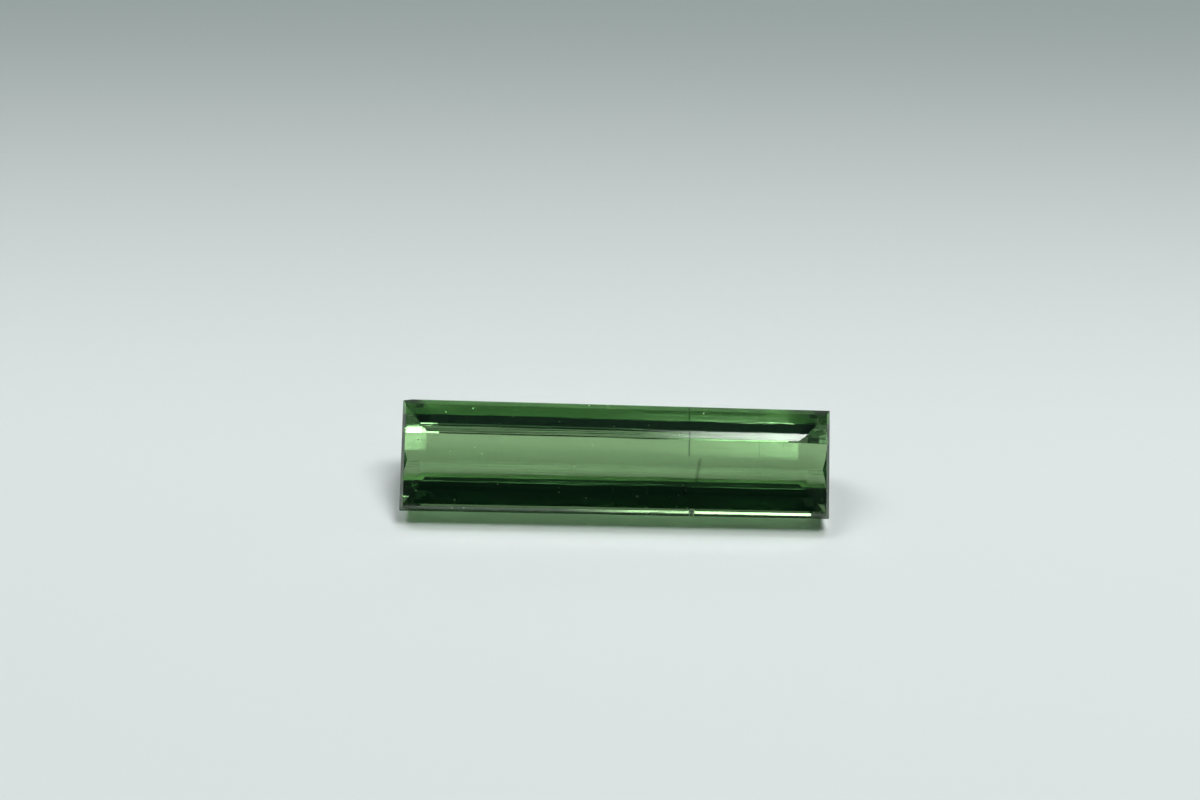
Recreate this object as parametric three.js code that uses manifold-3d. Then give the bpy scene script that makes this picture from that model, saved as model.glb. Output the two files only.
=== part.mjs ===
// A long step-cut tourmaline, one solid ground flat by flat from a block of rough.
// It lies as a loose stone does, tipped forward on a flat of its pavilion.
import * as THREE from "three";
import { mergeVertices } from "three/addons/utils/BufferGeometryUtils.js";
import Module from "manifold-3d";

// Girdle outline, in millimetres and degrees
const LENGTH = 20;
const WIDTH = 5.14;
const GIRDLE_THICKNESS = 0.2;
const SIDE_LEAN = 0.24; // the long sides close in towards the right end

// Height of the table above the girdle's upper edge at the back
const TABLE_HEIGHT = 0.83;

// The flats of each side, in order from the girdle: run is a flat's width in plan, and
// angle its slope from the girdle plane. The last flat runs on to the table or the keel.
// Turn is the direction that the side faces in plan, and reach its distance from the middle.
// GirdleTop is the height of the girdle's upper edge. In front a steep flat takes its place.
const END_PAVILION = [{ run: 0.28, angle: 80 }, { run: 0.28, angle: 72 }, { angle: 60 }];
const FRONT = {
  turn: -90 + SIDE_LEAN,
  reach: WIDTH / 2,
  girdleTop: -0.132,
  crown: [
    { run: 0.1, angle: 70 },
    { run: 0.11, angle: 54 },
    { run: 0.92, angle: 23.8 },
    { angle: 18.4 },
  ],
  pavilion: [{ run: 0.71, angle: 63.4 }, { run: 0.82, angle: 41.9 }, { angle: 33.2 }],
};
const BACK = {
  turn: 90 - SIDE_LEAN,
  reach: WIDTH / 2,
  girdleTop: 0,
  crown: [{ run: 0.22, angle: 51 }, { run: 1, angle: 24 }, { angle: 18.1 }],
  pavilion: [{ run: 0.59, angle: 63.4 }, { run: 0.87, angle: 41.5 }, { angle: 34 }],
};
const LEFT = {
  turn: 180,
  reach: LENGTH / 2,
  girdleTop: 0,
  crown: [{ run: 0.19, angle: 60 }, { run: 0.79, angle: 27 }, { angle: 20 }],
  pavilion: END_PAVILION,
};
const RIGHT = {
  turn: 0,
  reach: LENGTH / 2,
  girdleTop: 0,
  crown: [{ run: 0.16, angle: 60 }, { run: 0.93, angle: 25.5 }, { angle: 14 }],
  pavilion: END_PAVILION,
};
const SIDES = [FRONT, BACK, LEFT, RIGHT];

// A nick in the girdle at the back left corner
const NICK_LENGTH = 0.42;
const NICK_DEPTH = 0.07;

// The flat that the stone lies on
const REST_FLAT = FRONT.pavilion[1];

// The rough block, and the lap that grinds it: both only need to be larger than the stone
const ROUGH = 24;
const LAP = 60;

const STONE_COLOUR = 0x5f9a58;
const STONE_ROUGHNESS = 0.05;
const STONE_METALNESS = 0;

const UPRIGHT = 90;
const UP = new THREE.Vector3(0, 0, 1);
const DOWN = new THREE.Vector3(0, 0, -1);
const wasm = await Module();
wasm.setup();

const radians = THREE.MathUtils.degToRad;

// A closed three.js geometry as a solid that can be cut.
function solidFrom(geometry) {
  geometry.deleteAttribute("normal");
  geometry.deleteAttribute("uv");
  const merged = mergeVertices(geometry);
  const vertProperties = new Float32Array(merged.attributes.position.array);
  const triVerts = new Uint32Array(merged.index.array);
  return new wasm.Manifold(new wasm.Mesh({ numProp: 3, vertProperties, triVerts }));
}

// A cut solid as flat-shaded three.js geometry.
function geometryFrom(solid) {
  const mesh = solid.getMesh();
  const geometry = new THREE.BufferGeometry();
  geometry.setAttribute("position", new THREE.BufferAttribute(mesh.vertProperties, 3));
  geometry.setIndex(new THREE.BufferAttribute(mesh.triVerts, 1));
  const flats = geometry.toNonIndexed();
  flats.computeVertexNormals();
  return flats;
}

// Grinds one flat: takes away all that lies beyond a plane through a point.
function grind(stone, point, normal) {
  const lap = new THREE.BoxGeometry(LAP, LAP, LAP);
  lap.translate(0, 0, LAP / 2);
  lap.applyQuaternion(new THREE.Quaternion().setFromUnitVectors(UP, normal));
  lap.translate(point.x, point.y, point.z);
  return stone.subtract(solidFrom(lap));
}

// The way a flat faces: rise is 1 on the crown, 0 on the girdle and -1 on the pavilion.
function facing(turn, angle, rise) {
  const normal = new THREE.Vector3(Math.cos(radians(turn)), Math.sin(radians(turn)), 0);
  normal.multiplyScalar(Math.sin(radians(angle)));
  return normal.setZ(rise * Math.cos(radians(angle)));
}

// Grinds a side's flats one after the other, away from the girdle.
function grindSteps(stone, side, steps, girdleEdge, rise) {
  const outward = facing(side.turn, UPRIGHT, 0);
  let reach = side.reach;
  let height = girdleEdge;
  for (const { run = 0, angle } of steps) {
    const point = outward.clone().multiplyScalar(reach).setZ(height);
    stone = grind(stone, point, facing(side.turn, angle, rise));
    reach -= run;
    height += rise * run * Math.tan(radians(angle));
  }
  return stone;
}

// The nick faces back and a little to the left, and stands upright.
function grindNick(stone) {
  const corner = new THREE.Vector3(-LENGTH / 2, WIDTH / 2, 0);
  corner.y += (LENGTH / 2) * Math.tan(radians(SIDE_LEAN));
  const point = corner.clone().setX(corner.x + NICK_LENGTH);
  const normal = new THREE.Vector3(-NICK_DEPTH, NICK_LENGTH, 0).normalize();
  return grind(stone, point, normal);
}

// The whole stone with its girdle level, and height 0 at the girdle's upper edge at the back.
function cutStone() {
  let stone = solidFrom(new THREE.BoxGeometry(ROUGH, ROUGH, ROUGH));
  stone = grind(stone, new THREE.Vector3(0, 0, TABLE_HEIGHT), UP);
  for (const side of SIDES) {
    const outward = facing(side.turn, UPRIGHT, 0);
    stone = grind(stone, outward.clone().multiplyScalar(side.reach), outward);
    stone = grindSteps(stone, side, side.crown, side.girdleTop, 1);
    stone = grindSteps(stone, side, side.pavilion, -GIRDLE_THICKNESS, -1);
  }
  return grindNick(stone);
}

const material = new THREE.MeshStandardMaterial({
  color: STONE_COLOUR,
  roughness: STONE_ROUGHNESS,
  metalness: STONE_METALNESS,
});
const stone = new THREE.Mesh(geometryFrom(cutStone()), material);
stone.name = "tourmaline_gem";

// Tip the stone forward until its resting flat faces down, and centre it over the origin.
const gem = new THREE.Group();
gem.add(stone);
stone.quaternion.setFromUnitVectors(facing(FRONT.turn, REST_FLAT.angle, -1), DOWN);
const box = new THREE.Box3().setFromObject(gem, true);
const centre = box.getCenter(new THREE.Vector3());
stone.position.set(-centre.x, -centre.y, -box.min.z);

export default gem;
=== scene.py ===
"""A long step-cut green tourmaline that lies loose, tipped forward on a flat of its pavilion.

Lengths are in millimetres unless a name says metres, and angles are in degrees.
"""

import logging
import math
from collections.abc import Sequence
from dataclasses import dataclass, field
from enum import Enum
from typing import Any, Union

import bmesh
import bpy
from mathutils import Euler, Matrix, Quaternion, Vector

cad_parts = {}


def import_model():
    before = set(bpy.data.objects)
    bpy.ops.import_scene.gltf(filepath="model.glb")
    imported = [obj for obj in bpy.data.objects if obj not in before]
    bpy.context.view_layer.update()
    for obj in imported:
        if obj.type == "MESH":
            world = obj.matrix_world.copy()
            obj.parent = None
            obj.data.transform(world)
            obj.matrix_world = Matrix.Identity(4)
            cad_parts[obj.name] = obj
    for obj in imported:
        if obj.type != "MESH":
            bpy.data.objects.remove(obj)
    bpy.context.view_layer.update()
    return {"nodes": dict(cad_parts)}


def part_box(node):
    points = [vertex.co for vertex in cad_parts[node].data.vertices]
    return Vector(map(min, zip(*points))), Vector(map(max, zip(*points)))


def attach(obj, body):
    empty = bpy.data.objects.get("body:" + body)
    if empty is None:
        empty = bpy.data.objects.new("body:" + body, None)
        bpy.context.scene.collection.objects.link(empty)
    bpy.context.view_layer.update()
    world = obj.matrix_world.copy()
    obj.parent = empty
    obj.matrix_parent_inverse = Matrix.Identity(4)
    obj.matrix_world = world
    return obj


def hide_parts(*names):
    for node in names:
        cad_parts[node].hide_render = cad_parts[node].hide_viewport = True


LOG = logging.getLogger("tourmaline")
MM = 0.001
FRAME_WIDTH_PX = 1200
FRAME_HEIGHT_PX = 800
UP = Vector((0.0, 0.0, 1.0))
DOWN = Vector((0.0, 0.0, -1.0))
UPRIGHT = 90.0
REST_ANGLE = 41.9
MIDDLE = 0.5

Colour = tuple[float, float, float]
Triple = tuple[float, float, float]
Number = Union["Value", float]


class Half(Enum):
    """The two halves of a cut stone, with the way that each rises from the girdle."""

    CROWN = 1
    PAVILION = -1


class Value:
    """A number's socket, with arithmetic that adds Math nodes to its tree."""

    def __init__(self, sheet: "NodeSheet", socket: bpy.types.NodeSocket) -> None:
        """Wraps a socket.

        Args:
            sheet: The node sheet that the socket is on.
            socket: The output socket with the number.
        """
        self.sheet = sheet
        self.socket = socket

    def _math(self, operation: str, *numbers: Number) -> "Value":
        """Adds one Math node.

        Args:
            operation: The Math node's operation.
            numbers: Its values or links, in order.

        Returns:
            The node's result.
        """
        settings = {"operation": operation}
        made = self.sheet.node("ShaderNodeMath", settings, dict(enumerate(numbers)))
        return Value(self.sheet, made.outputs[0])

    def __add__(self, other: Number) -> "Value":
        """This number plus another."""
        return self._math("ADD", self, other)

    def __radd__(self, other: Number) -> "Value":
        """Another number plus this one."""
        return self._math("ADD", other, self)

    def __sub__(self, other: Number) -> "Value":
        """This number less another."""
        return self._math("SUBTRACT", self, other)

    def __rsub__(self, other: Number) -> "Value":
        """Another number less this one."""
        return self._math("SUBTRACT", other, self)

    def __mul__(self, other: Number) -> "Value":
        """This number times another."""
        return self._math("MULTIPLY", self, other)

    def __rmul__(self, other: Number) -> "Value":
        """Another number times this one."""
        return self._math("MULTIPLY", other, self)

    def __abs__(self) -> "Value":
        """The number without its sign."""
        return self._math("ABSOLUTE", self)

    def centred(self) -> "Value":
        """A number from 0 to 1, spread over -1 to 1."""
        return self * 2.0 - 1.0

    def share(self) -> "Value":
        """A number from -1 to 1, brought to 0 to 1."""
        return self * 0.5 + 0.5

    def steps(self, low: float, high: float) -> "Value":
        """A smooth step of this number.

        Args:
            low: Where the step is 0.
            high: Where the step is 1. It may be below low.

        Returns:
            A number from 0 to 1.
        """
        settings = {"interpolation_type": "SMOOTHSTEP"}
        turned = high < low
        ends = (high, low) if turned else (low, high)
        sockets = {"Value": self, "From Min": ends[0], "From Max": ends[1]}
        made = self.sheet.node("ShaderNodeMapRange", settings, sockets)
        step = Value(self.sheet, made.outputs["Result"])
        return 1.0 - step if turned else step

    def near(self, centre: float, reach: float) -> "Value":
        """A soft line: 1 where this number is at centre, and 0 from reach away."""
        return abs(self - centre).steps(reach, 0.0)

    def within(self, low: float, high: float, soft: float) -> "Value":
        """1 between low and high, and 0 outside them, with edges soft wide."""
        return self.steps(low, low + soft) * self.steps(high, high - soft)


class NodeSheet:
    """A node tree that nodes are added to."""

    def __init__(self, tree: bpy.types.NodeTree) -> None:
        """Clears a node tree and wraps it."""
        self.tree = tree
        tree.nodes.clear()

    def node(
        self,
        kind: str,
        settings: dict[str, Any] | None = None,
        sockets: dict[str | int, Any] | None = None,
    ) -> bpy.types.Node:
        """Adds a node.

        Args:
            kind: The node's type.
            settings: The node's properties, or stops for a colour ramp.
            sockets: Values or links for its inputs, by name or number.

        Returns:
            The new node.
        """
        made = self.tree.nodes.new(kind)
        for name, setting in (settings or {}).items():
            if name == "stops":
                self._set_stops(made.color_ramp, setting)
            else:
                setattr(made, name, setting)
        for name, given in (sockets or {}).items():
            link = given.socket if isinstance(given, Value) else given
            if isinstance(link, bpy.types.NodeSocket):
                self.tree.links.new(link, made.inputs[name])
            else:
                made.inputs[name].default_value = link
        return made

    @staticmethod
    def _set_stops(ramp: bpy.types.ColorRamp, stops: Sequence[tuple[float, Colour]]) -> None:
        """Gives a colour ramp its stops.

        Args:
            ramp: The ramp.
            stops: Each stop's place and colour.
        """
        while len(ramp.elements) < len(stops):
            ramp.elements.new(1.0)
        for element, (place, colour) in zip(ramp.elements, stops):
            element.position = place
            element.color = (*colour, 1.0)

    def value(self, socket: bpy.types.NodeSocket) -> Value:
        """Wraps a number's socket for arithmetic."""
        return Value(self, socket)

    def axes(self, vector: bpy.types.NodeSocket) -> tuple[Value, Value, Value]:
        """Splits a vector into its three numbers."""
        made = self.node("ShaderNodeSeparateXYZ", None, {"Vector": vector})
        return tuple(Value(self, output) for output in made.outputs)

    def scaled(self, vector: bpy.types.NodeSocket, scale: Triple) -> bpy.types.NodeSocket:
        """Multiplies a vector by a number for each axis.

        Args:
            vector: The vector.
            scale: The three numbers.

        Returns:
            The new vector's socket.
        """
        settings = {"operation": "MULTIPLY"}
        made = self.node("ShaderNodeVectorMath", settings, {0: vector, 1: scale})
        return made.outputs["Vector"]

    def noise(self, vector: bpy.types.NodeSocket, scale: float, detail: float) -> Value:
        """A cloudy pattern from 0 to 1.

        Args:
            vector: Where it is read.
            scale: Its waves per metre.
            detail: How many finer layers it has.

        Returns:
            The pattern's value.
        """
        sockets = {"Vector": vector, "Scale": scale, "Detail": detail}
        made = self.node("ShaderNodeTexNoise", None, sockets)
        return Value(self, made.outputs["Fac"])

    def blend(self, share: Number, first: Any, second: Any) -> bpy.types.NodeSocket:
        """Blends two colours.

        Args:
            share: How much of the second shows, from 0 to 1.
            first: The first colour or its link.
            second: The second colour or its link.

        Returns:
            The blended colour's socket.
        """
        settings = {"data_type": "RGBA"}
        made = self.node("ShaderNodeMix", settings, {0: share, 6: first, 7: second})
        return made.outputs[2]


@dataclass(frozen=True)
class Flat:
    """One flat of a side: its slope from the girdle plane, and its width in plan."""

    angle: float
    run: float = 0.0


Flats = tuple[Flat, ...]


@dataclass(frozen=True)
class StoneSide:
    """A side of the stone, with its flats in order from the girdle.

    Turn is the direction that it faces in plan, and reach its distance from the middle.
    """

    turn: float
    reach: float
    crown: Flats
    pavilion: Flats
    girdle_top: float = 0.0

    def facing(self, angle: float, rise: int) -> Vector:
        """The way that a flat of this side faces.

        Args:
            angle: Its slope from the girdle plane.
            rise: 1 on the crown, 0 on the girdle and -1 on the pavilion.

        Returns:
            The flat's outward direction.
        """
        turn = math.radians(self.turn)
        slope = math.radians(angle)
        outward = Vector((math.cos(turn), math.sin(turn), 0.0))
        return outward * math.sin(slope) + UP * rise * math.cos(slope)


@dataclass(frozen=True)
class Fracture:
    """A thin crack across the stone, in the stone's own level frame.

    Place is where it crosses the length, and front and back are where it ends across the
    width. Lean turns it, soft blurs its ends, and haze breaks the polish along it.
    """

    half: Half
    place: float
    width: float
    darkness: float
    front: float
    back: float
    lean: float = 0.0
    soft: float = 0.15
    haze: float = 0.0


@dataclass(frozen=True)
class TourmalineFinish:
    """Polished green tourmaline: clear, with cracks, a ground girdle and a little dust."""

    name: str = "tourmaline_clear_green"
    refraction: float = 1.63
    tint: Colour = (0.425, 0.585, 0.315)
    body_colour: Colour = (0.25, 0.59, 0.35)
    body_density: float = 150.0
    polish: float = 0.004
    ground: float = 0.05
    dust_haze: float = 0.5
    dust_per_metre: float = 2200.0
    dust_size: float = 0.12
    dust_core: float = 0.5
    dust_patch_scale: float = 0.25
    dust_patch_detail: float = 1.0
    dust_patch_ends: tuple[float, float] = (0.5, 0.62)
    crack_colour: Colour = (0.05, 0.09, 0.05)
    cracks: tuple[Fracture, ...] = (
        Fracture(Half.CROWN, place=3.42, width=0.07, darkness=0.95, front=1.55, back=4.3),
        Fracture(Half.PAVILION, 3.76, width=0.15, darkness=0.7, front=0.4, back=1.8, lean=0.16),
        Fracture(Half.CROWN, 3.6, width=0.2, darkness=1.0, front=-1.5, back=-0.7, haze=0.8),
        Fracture(Half.CROWN, place=6.66, width=0.04, darkness=0.5, front=1.55, back=4.3),
    )
    crack_wander: float = 0.06
    wander_per_metre: float = 900.0
    wander_detail: float = 2.0
    girdle_height: float = 1.7
    girdle_soft: float = 0.05
    streak_stretch: Triple = (0.02, 1.0, 1.0)
    streaks_per_metre: float = 8000.0
    streak_detail: float = 2.0
    streak_metres: float = 1.8e-6

    def material(self, ground_mask: str) -> bpy.types.Material:
        """Makes the material.

        Args:
            ground_mask: The attribute that is 1 where the stone is ground, not polished.

        Returns:
            The material.
        """
        made = bpy.data.materials.new(self.name)
        made.use_nodes = True
        sheet = NodeSheet(made.node_tree)
        place = sheet.node("ShaderNodeTexCoord").outputs["Object"]
        mask = sheet.node("ShaderNodeAttribute", {"attribute_name": ground_mask})
        ground = sheet.value(mask.outputs["Fac"])
        dust = self._dust(sheet, place)
        dark, crack_haze = self._cracks(sheet, place)
        haze = self.polish + ground * (self.ground - self.polish) + dust * self.dust_haze
        tint = sheet.blend(dark, (*self.tint, 1.0), (*self.crack_colour, 1.0))
        surface = sheet.node(
            "ShaderNodeBsdfPrincipled",
            None,
            {
                "Base Color": tint,
                "Roughness": haze + crack_haze,
                "IOR": self.refraction,
                "Transmission Weight": 1.0,
                "Normal": self._streaks(sheet, place),
            },
        )
        body = sheet.node(
            "ShaderNodeVolumeAbsorption",
            None,
            {"Color": (*self.body_colour, 1.0), "Density": self.body_density},
        )
        sheet.node(
            "ShaderNodeOutputMaterial",
            None,
            {"Surface": surface.outputs[0], "Volume": body.outputs[0]},
        )
        return made

    def _dust(self, sheet: NodeSheet, place: bpy.types.NodeSocket) -> Value:
        """Specks of dust, thinly and unevenly spread.

        Args:
            sheet: The material's node sheet.
            place: Where a point of the stone is.

        Returns:
            1 on a speck and 0 elsewhere.
        """
        sockets = {"Vector": place, "Scale": self.dust_per_metre}
        cells = sheet.node("ShaderNodeTexVoronoi", None, sockets)
        distance = sheet.value(cells.outputs["Distance"])
        specks = distance.steps(self.dust_size, self.dust_core * self.dust_size)
        scale = self.dust_patch_scale * self.dust_per_metre
        patches = sheet.noise(place, scale, self.dust_patch_detail).steps(*self.dust_patch_ends)
        return specks * patches

    def _streaks(self, sheet: NodeSheet, place: bpy.types.NodeSocket) -> bpy.types.NodeSocket:
        """The lines that polishing leaves along the stone, too shallow to see as steps.

        Args:
            sheet: The material's node sheet.
            place: Where a point of the stone is.

        Returns:
            The socket of the surface's direction.
        """
        lines = sheet.scaled(place, self.streak_stretch)
        height = sheet.noise(lines, self.streaks_per_metre, self.streak_detail)
        sockets = {"Strength": 1.0, "Distance": self.streak_metres, "Height": height}
        return sheet.node("ShaderNodeBump", None, sockets).outputs["Normal"]

    def _cracks(self, sheet: NodeSheet, place: bpy.types.NodeSocket) -> tuple[Value, Value]:
        """The lines along which the cracks meet the surface.

        Args:
            sheet: The material's node sheet.
            place: Where a point of the stone is.

        Returns:
            How dark and how hazy each crack's line is, and 0 elsewhere.
        """
        turn = {"Vector": place, "Angle": -math.radians(REST_ANGLE)}
        level = sheet.node("ShaderNodeVectorRotate", {"rotation_type": "X_AXIS"}, turn)
        along, across, height = sheet.axes(sheet.scaled(level.outputs[0], (1.0 / MM,) * 3))
        wander = sheet.noise(place, self.wander_per_metre, self.wander_detail) - MIDDLE
        along = along + wander * self.crack_wander
        lowest = self.girdle_height - self.girdle_soft
        crown = height.steps(lowest, self.girdle_height + self.girdle_soft)
        shown = {Half.CROWN: crown, Half.PAVILION: 1.0 - crown}
        dark: Number = 0.0
        haze: Number = 0.0
        for crack in self.cracks:
            line = (along - across * crack.lean).near(crack.place, crack.width)
            line = line * across.within(crack.front, crack.back, crack.soft) * shown[crack.half]
            dark = dark + line * crack.darkness
            haze = haze + line * crack.haze
        return dark, haze


@dataclass
class StepCutStone:
    """The stone, ground flat by flat from a block of rough and laid on one of its flats."""

    length: float = 20.0
    width: float = 5.14
    side_lean: float = 0.24
    girdle_thickness: float = 0.2
    front_girdle_top: float = -0.132
    table_height: float = 0.83
    front_crown: Flats = (Flat(70, 0.1), Flat(54, 0.11), Flat(23.8, 0.92), Flat(18.4))
    front_pavilion: Flats = (Flat(63.4, 0.71), Flat(REST_ANGLE, 0.82), Flat(33.2))
    back_crown: Flats = (Flat(51, 0.22), Flat(24, 1), Flat(18.1))
    back_pavilion: Flats = (Flat(63.4, 0.59), Flat(41.5, 0.87), Flat(34))
    left_crown: Flats = (Flat(60, 0.19), Flat(27, 0.79), Flat(20))
    right_crown: Flats = (Flat(60, 0.16), Flat(25.5, 0.93), Flat(14))
    end_pavilion: Flats = (Flat(80, 0.28), Flat(72, 0.28), Flat(60))
    nick_length: float = 0.42
    nick_depth: float = 0.07
    edge_wear: float = 0.007
    shortest_edge: float = 0.002
    cut_tolerance: float = 1e-5
    upright_within: float = 0.01
    rough_block: float = 24.0
    finish: TourmalineFinish = field(default_factory=TourmalineFinish)
    node: str = "tourmaline_gem"
    ground_mask: str = "ground"

    def __post_init__(self) -> None:
        """Puts the flats together as the four sides, in the order that they are ground."""
        half_length = self.length / 2
        half_width = self.width / 2
        self.front = StoneSide(
            self.side_lean - UPRIGHT,
            half_width,
            self.front_crown,
            self.front_pavilion,
            girdle_top=self.front_girdle_top,
        )
        self.sides = (
            self.front,
            StoneSide(
                UPRIGHT - self.side_lean, half_width, self.back_crown, self.back_pavilion
            ),
            StoneSide(180.0, half_length, self.left_crown, self.end_pavilion),
            StoneSide(0.0, half_length, self.right_crown, self.end_pavilion),
        )

    def build(self) -> bpy.types.Object:
        """Cuts the stone.

        Returns:
            The stone's object, at the origin, with its place in its mesh.
        """
        mesh = bmesh.new()
        bmesh.ops.create_cube(mesh, size=self.rough_block)
        self._grind(mesh, UP * self.table_height, UP)
        for side in self.sides:
            outward = side.facing(UPRIGHT, 0)
            self._grind(mesh, outward * side.reach, outward)
            self._grind_steps(mesh, side, Half.CROWN)
            self._grind_steps(mesh, side, Half.PAVILION)
        self._grind_nick(mesh)
        bmesh.ops.dissolve_degenerate(mesh, dist=self.shortest_edge, edges=mesh.edges[:])
        bmesh.ops.recalc_face_normals(mesh, faces=mesh.faces[:])
        self._wear_edges(mesh)
        self._mark_ground(mesh)
        self._lay_down(mesh)
        data = bpy.data.meshes.new("step_cut_stone")
        mesh.to_mesh(data)
        mesh.free()
        piece = bpy.data.objects.new("step_cut_stone", data)
        bpy.context.scene.collection.objects.link(piece)
        return piece

    def dress(self, piece: bpy.types.Object) -> None:
        """Gives the stone its finish, and its place in the model.

        Args:
            piece: The stone's object.
        """
        piece.data.materials.append(self.finish.material(self.ground_mask))
        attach(piece, "root")
        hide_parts(self.node)

    def _grind(self, mesh: bmesh.types.BMesh, point: Vector, normal: Vector) -> None:
        """Grinds one flat: takes away all that lies beyond a plane.

        Args:
            mesh: The stone so far.
            point: A point of the plane.
            normal: The way that the new flat faces.
        """
        bmesh.ops.bisect_plane(
            mesh,
            geom=mesh.verts[:] + mesh.edges[:] + mesh.faces[:],
            plane_co=point,
            plane_no=normal,
            clear_outer=True,
            dist=self.cut_tolerance,
        )
        rim = [edge for edge in mesh.edges if edge.is_boundary]
        if rim:
            bmesh.ops.holes_fill(mesh, edges=rim)

    def _grind_steps(self, mesh: bmesh.types.BMesh, side: StoneSide, half: Half) -> None:
        """Grinds a side's flats one after the other, away from the girdle.

        Args:
            mesh: The stone so far.
            side: The side.
            half: The crown or the pavilion.
        """
        crown = half is Half.CROWN
        outward = side.facing(UPRIGHT, 0)
        reach = side.reach
        height = side.girdle_top if crown else -self.girdle_thickness
        for flat in side.crown if crown else side.pavilion:
            point = outward * reach + UP * height
            self._grind(mesh, point, side.facing(flat.angle, half.value))
            reach -= flat.run
            height += half.value * flat.run * math.tan(math.radians(flat.angle))

    def _grind_nick(self, mesh: bmesh.types.BMesh) -> None:
        """Grinds the nick in the girdle at the back left corner.

        Args:
            mesh: The stone so far.
        """
        half_length = self.length / 2
        corner_y = self.width / 2 + half_length * math.tan(math.radians(self.side_lean))
        point = Vector((self.nick_length - half_length, corner_y, 0.0))
        normal = Vector((-self.nick_depth, self.nick_length, 0.0)).normalized()
        self._grind(mesh, point, normal)

    def _wear_edges(self, mesh: bmesh.types.BMesh) -> None:
        """Takes the sharpness off every edge, as handling does.

        Args:
            mesh: The cut stone.
        """
        bmesh.ops.bevel(
            mesh,
            geom=mesh.edges[:],
            offset=self.edge_wear,
            offset_type="OFFSET",
            affect="EDGES",
            segments=1,
            profile=0.5,
            material=-1,
            clamp_overlap=True,
        )

    def _mark_ground(self, mesh: bmesh.types.BMesh) -> None:
        """Marks the upright flats of the girdle, which are ground and not polished.

        Args:
            mesh: The cut stone, with its girdle level.
        """
        layer = mesh.faces.layers.float.new(self.ground_mask)
        for face in mesh.faces:
            face.normal_update()
            face[layer] = 1.0 if abs(face.normal.z) < self.upright_within else 0.0

    def _lay_down(self, mesh: bmesh.types.BMesh) -> None:
        """Tips the stone on to its resting flat, centres it and brings it to metres.

        Args:
            mesh: The cut stone, with its girdle level.
        """
        rest = self.front.facing(REST_ANGLE, Half.PAVILION.value)
        turn = rest.rotation_difference(DOWN).to_matrix().to_4x4()
        bmesh.ops.transform(mesh, matrix=turn, verts=mesh.verts[:])
        bmesh.ops.scale(mesh, vec=(MM, MM, MM), verts=mesh.verts[:])
        low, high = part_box(self.node)
        axes = list(zip(*(vertex.co for vertex in mesh.verts)))
        lowest = Vector(map(min, axes))
        highest = Vector(map(max, axes))
        shift = (low + high - lowest - highest) / 2
        shift.z = low.z - lowest.z
        bmesh.ops.translate(mesh, vec=shift, verts=mesh.verts[:])


@dataclass(frozen=True)
class PaperFinish:
    """Plain pale paper with a faint grain, and painted shade that darkens its colour towards
    the back.
    """

    name: str = "pale_paper"
    colour: Colour = (0.805, 0.835, 0.835)
    # Painted shade: the darker colour that the paper is blended to towards the back, standing
    # in for light that falls off there.
    painted_shade: Colour = (0.315, 0.36, 0.352)
    shade_from: float = 0.0
    shade_to: float = 54.0
    grain_per_metre: float = 1800.0
    grain_detail: float = 3.0
    grain: float = 0.03
    roughness: float = 0.9
    gloss: float = 0.1

    def material(self) -> bpy.types.Material:
        """Makes the material.

        Returns:
            The material.
        """
        made = bpy.data.materials.new(self.name)
        made.use_nodes = True
        sheet = NodeSheet(made.node_tree)
        place = sheet.node("ShaderNodeTexCoord").outputs["Object"]
        _, back, _ = sheet.axes(place)
        grain = sheet.noise(place, self.grain_per_metre, self.grain_detail) - MIDDLE
        # Painted shade: the paper's colour darkens towards the back, plus its faint grain.
        painted_shade_and_grain = (back * (1.0 / MM)).steps(self.shade_from, self.shade_to) + grain * self.grain
        surface = sheet.node(
            "ShaderNodeBsdfPrincipled",
            None,
            {
                "Base Color": sheet.blend(painted_shade_and_grain, (*self.colour, 1.0), (*self.painted_shade, 1.0)),
                "Roughness": self.roughness,
                "Specular IOR Level": self.gloss,
            },
        )
        sheet.node("ShaderNodeOutputMaterial", None, {"Surface": surface.outputs[0]})
        return made


@dataclass
class PaperSheet:
    """The pale floor that the stone lies on, with a hair of air under its resting flat."""

    half_size_metres: float = 1.0
    air: float = 0.01
    finish: PaperFinish = field(default_factory=PaperFinish)

    def build(self) -> bpy.types.Object:
        """Makes the floor just under height 0.

        Returns:
            The floor's object.
        """
        mesh = bmesh.new()
        bmesh.ops.create_grid(mesh, x_segments=1, y_segments=1, size=self.half_size_metres)
        bmesh.ops.translate(mesh, vec=DOWN * self.air * MM, verts=mesh.verts[:])
        data = bpy.data.meshes.new("floor")
        mesh.to_mesh(data)
        mesh.free()
        floor = bpy.data.objects.new("floor", data)
        bpy.context.scene.collection.objects.link(floor)
        return floor

    def dress(self, floor: bpy.types.Object) -> None:
        """Gives the floor its finish."""
        floor.data.materials.append(self.finish.material())


@dataclass
class SoftLamp:
    """A round soft box that faces the stone and fades out towards its rim."""

    name: str
    place: Triple
    radii: tuple[float, float]
    power: float
    core: float = 0.5
    colour: Colour = (0.975, 1.0, 1.0)

    def build(self) -> bpy.types.Object:
        """Makes the lamp.

        Returns:
            The lamp's object.
        """
        light = bpy.data.lights.new(self.name, "AREA")
        light.shape = "ELLIPSE"
        light.size, light.size_y = (2.0 * radius * MM for radius in self.radii)
        light.energy = self.power
        light.color = self.colour
        light.use_nodes = True
        sheet = NodeSheet(light.node_tree)
        where = sheet.node("ShaderNodeNewGeometry").outputs["Parametric"]
        across, along, _ = sheet.axes(where)
        across = across.centred()
        along = along.centred()
        glow = (across * across + along * along).steps(1.0, self.core * self.core)
        shine = sheet.node("ShaderNodeEmission", None, {"Strength": glow})
        sheet.node("ShaderNodeOutputLight", None, {"Surface": shine.outputs[0]})
        lamp = bpy.data.objects.new(self.name, light)
        lamp.location = Vector(self.place) * MM
        lamp.rotation_mode = "QUATERNION"
        lamp.rotation_quaternion = DOWN.rotation_difference(-lamp.location)
        bpy.context.scene.collection.objects.link(lamp)
        return lamp


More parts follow.
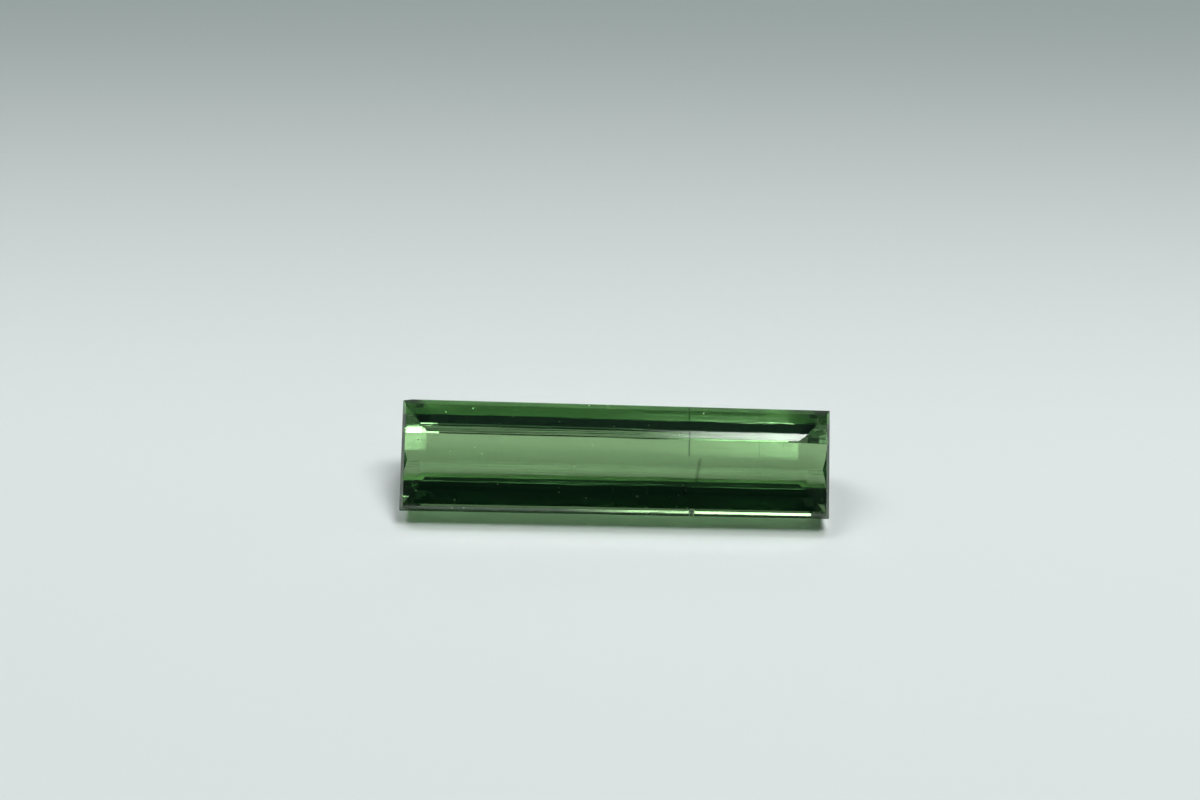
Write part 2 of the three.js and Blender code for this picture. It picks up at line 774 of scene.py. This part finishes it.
@dataclass
class Surroundings:
    """The dim room: dark over the viewer, and paler towards the back."""

    stops: tuple[tuple[float, Colour], ...] = (
        (0.0, (0.006, 0.013, 0.013)),
        (0.29, (0.008, 0.018, 0.017)),
        (0.38, (0.035, 0.055, 0.05)),
        (0.62, (0.04, 0.06, 0.07)),
        (0.88, (0.30, 0.33, 0.32)),
        (1.0, (0.30, 0.33, 0.32)),
    )
    sides: Colour = (0.05, 0.055, 0.055)
    side_from: float = 0.2
    side_to: float = 0.6

    def build(self) -> bpy.types.World:
        """Makes the world and gives it to the scene.

        Returns:
            The world.
        """
        world = bpy.data.worlds.new("dim_room")
        world.use_nodes = True
        sheet = NodeSheet(world.node_tree)
        way = sheet.node("ShaderNodeTexCoord").outputs["Generated"]
        across, back, _ = sheet.axes(way)
        ramp = sheet.node("ShaderNodeValToRGB", {"stops": self.stops}, {"Fac": back.share()})
        sideways = abs(across).steps(self.side_from, self.side_to)
        tint = sheet.blend(sideways, ramp.outputs["Color"], (*self.sides, 1.0))
        glow = sheet.node("ShaderNodeBackground", None, {"Color": tint})
        sheet.node("ShaderNodeOutputWorld", None, {"Surface": glow.outputs[0]})
        bpy.context.scene.world = world
        return world


@dataclass
class StoneCamera:
    """The camera, in front of the stone and above it."""

    target: Triple = (0.0, -0.193, 2.447)
    target_px: tuple[float, float] = (615.1, 459.3)
    elevation: float = 42.7
    distance: float = 84.1
    focal_px: float = 1800.0
    roll: float = 1.27
    sensor: float = 36.0

    def build(self) -> bpy.types.Object:
        """Makes the camera and gives it to the scene.

        Returns:
            The camera's object.
        """
        data = bpy.data.cameras.new("camera")
        data.sensor_width = self.sensor
        data.lens = self.sensor * self.focal_px / FRAME_WIDTH_PX
        data.clip_start = MM
        camera = bpy.data.objects.new("camera", data)
        slope = math.radians(self.elevation)
        back = Vector((0.0, -math.cos(slope), math.sin(slope)))
        camera.location = (Vector(self.target) + back * self.distance) * MM
        camera.rotation_mode = "QUATERNION"
        camera.rotation_quaternion = self._aim(back)
        scene = bpy.context.scene
        scene.collection.objects.link(camera)
        scene.camera = camera
        return camera

    def _aim(self, back: Vector) -> Quaternion:
        """Turns the camera so that the target stands at its pixel.

        Args:
            back: The way from the target to the camera.

        Returns:
            The camera's rotation.
        """
        right = (self.target_px[0] - FRAME_WIDTH_PX / 2) / self.focal_px
        below = (self.target_px[1] - FRAME_HEIGHT_PX / 2) / self.focal_px
        level = (-back).to_track_quat("-Z", "Y")
        rolled = level @ Quaternion((0.0, 0.0, 1.0), math.radians(self.roll))
        return rolled @ Euler((math.atan(below), math.atan(right), 0.0)).to_quaternion()


LAMPS = (
    SoftLamp("lamp_over_right", (126.0, 24.0, 400.0), (129.0, 74.0), 1.33),
    SoftLamp("lamp_over_back", (86.0, 190.0, 400.0), (111.0, 76.0), 0.70),
    SoftLamp("fill_over_left", (-190.0, 150.0, 370.0), (130.0, 90.0), 0.87),
)


@dataclass
class LightPaths:
    """How far light is followed through the stone and off the paper."""

    stone_bounces: int = 24
    paper_bounces: int = 3
    brightest_glint: float = 10.0

    def apply(self, scene: bpy.types.Scene) -> None:
        """Sets the paths, and has the grain of the picture cleaned.

        Args:
            scene: The scene.
        """
        cycles = scene.cycles
        cycles.use_denoising = True
        cycles.max_bounces = self.stone_bounces
        cycles.transmission_bounces = self.stone_bounces
        cycles.glossy_bounces = self.stone_bounces
        cycles.diffuse_bounces = self.paper_bounces
        cycles.caustics_refractive = True
        cycles.caustics_reflective = True
        cycles.blur_glossy = 0.0
        cycles.sample_clamp_indirect = self.brightest_glint
        scene.view_settings.view_transform = "Standard"


def main() -> None:
    """Builds the stone and what it is seen with, and reports each piece."""
    logging.basicConfig(level=logging.INFO, format="%(message)s")
    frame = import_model()
    LOG.info("nodes: %s", ", ".join(frame["nodes"]))

    stone = StepCutStone()
    piece = stone.build()
    stone.dress(piece)
    LOG.info("%s: %d faces", piece.name, len(piece.data.polygons))

    paper = PaperSheet()
    floor = paper.build()
    paper.dress(floor)
    LOG.info("%s: stage", floor.name)

    for lamp in LAMPS:
        LOG.info("%s: lamp", lamp.build().name)
    LOG.info("%s: world", Surroundings().build().name)
    LOG.info("%s: camera", StoneCamera().build().name)
    LightPaths().apply(bpy.context.scene)


if __name__ == "__main__":
    main()
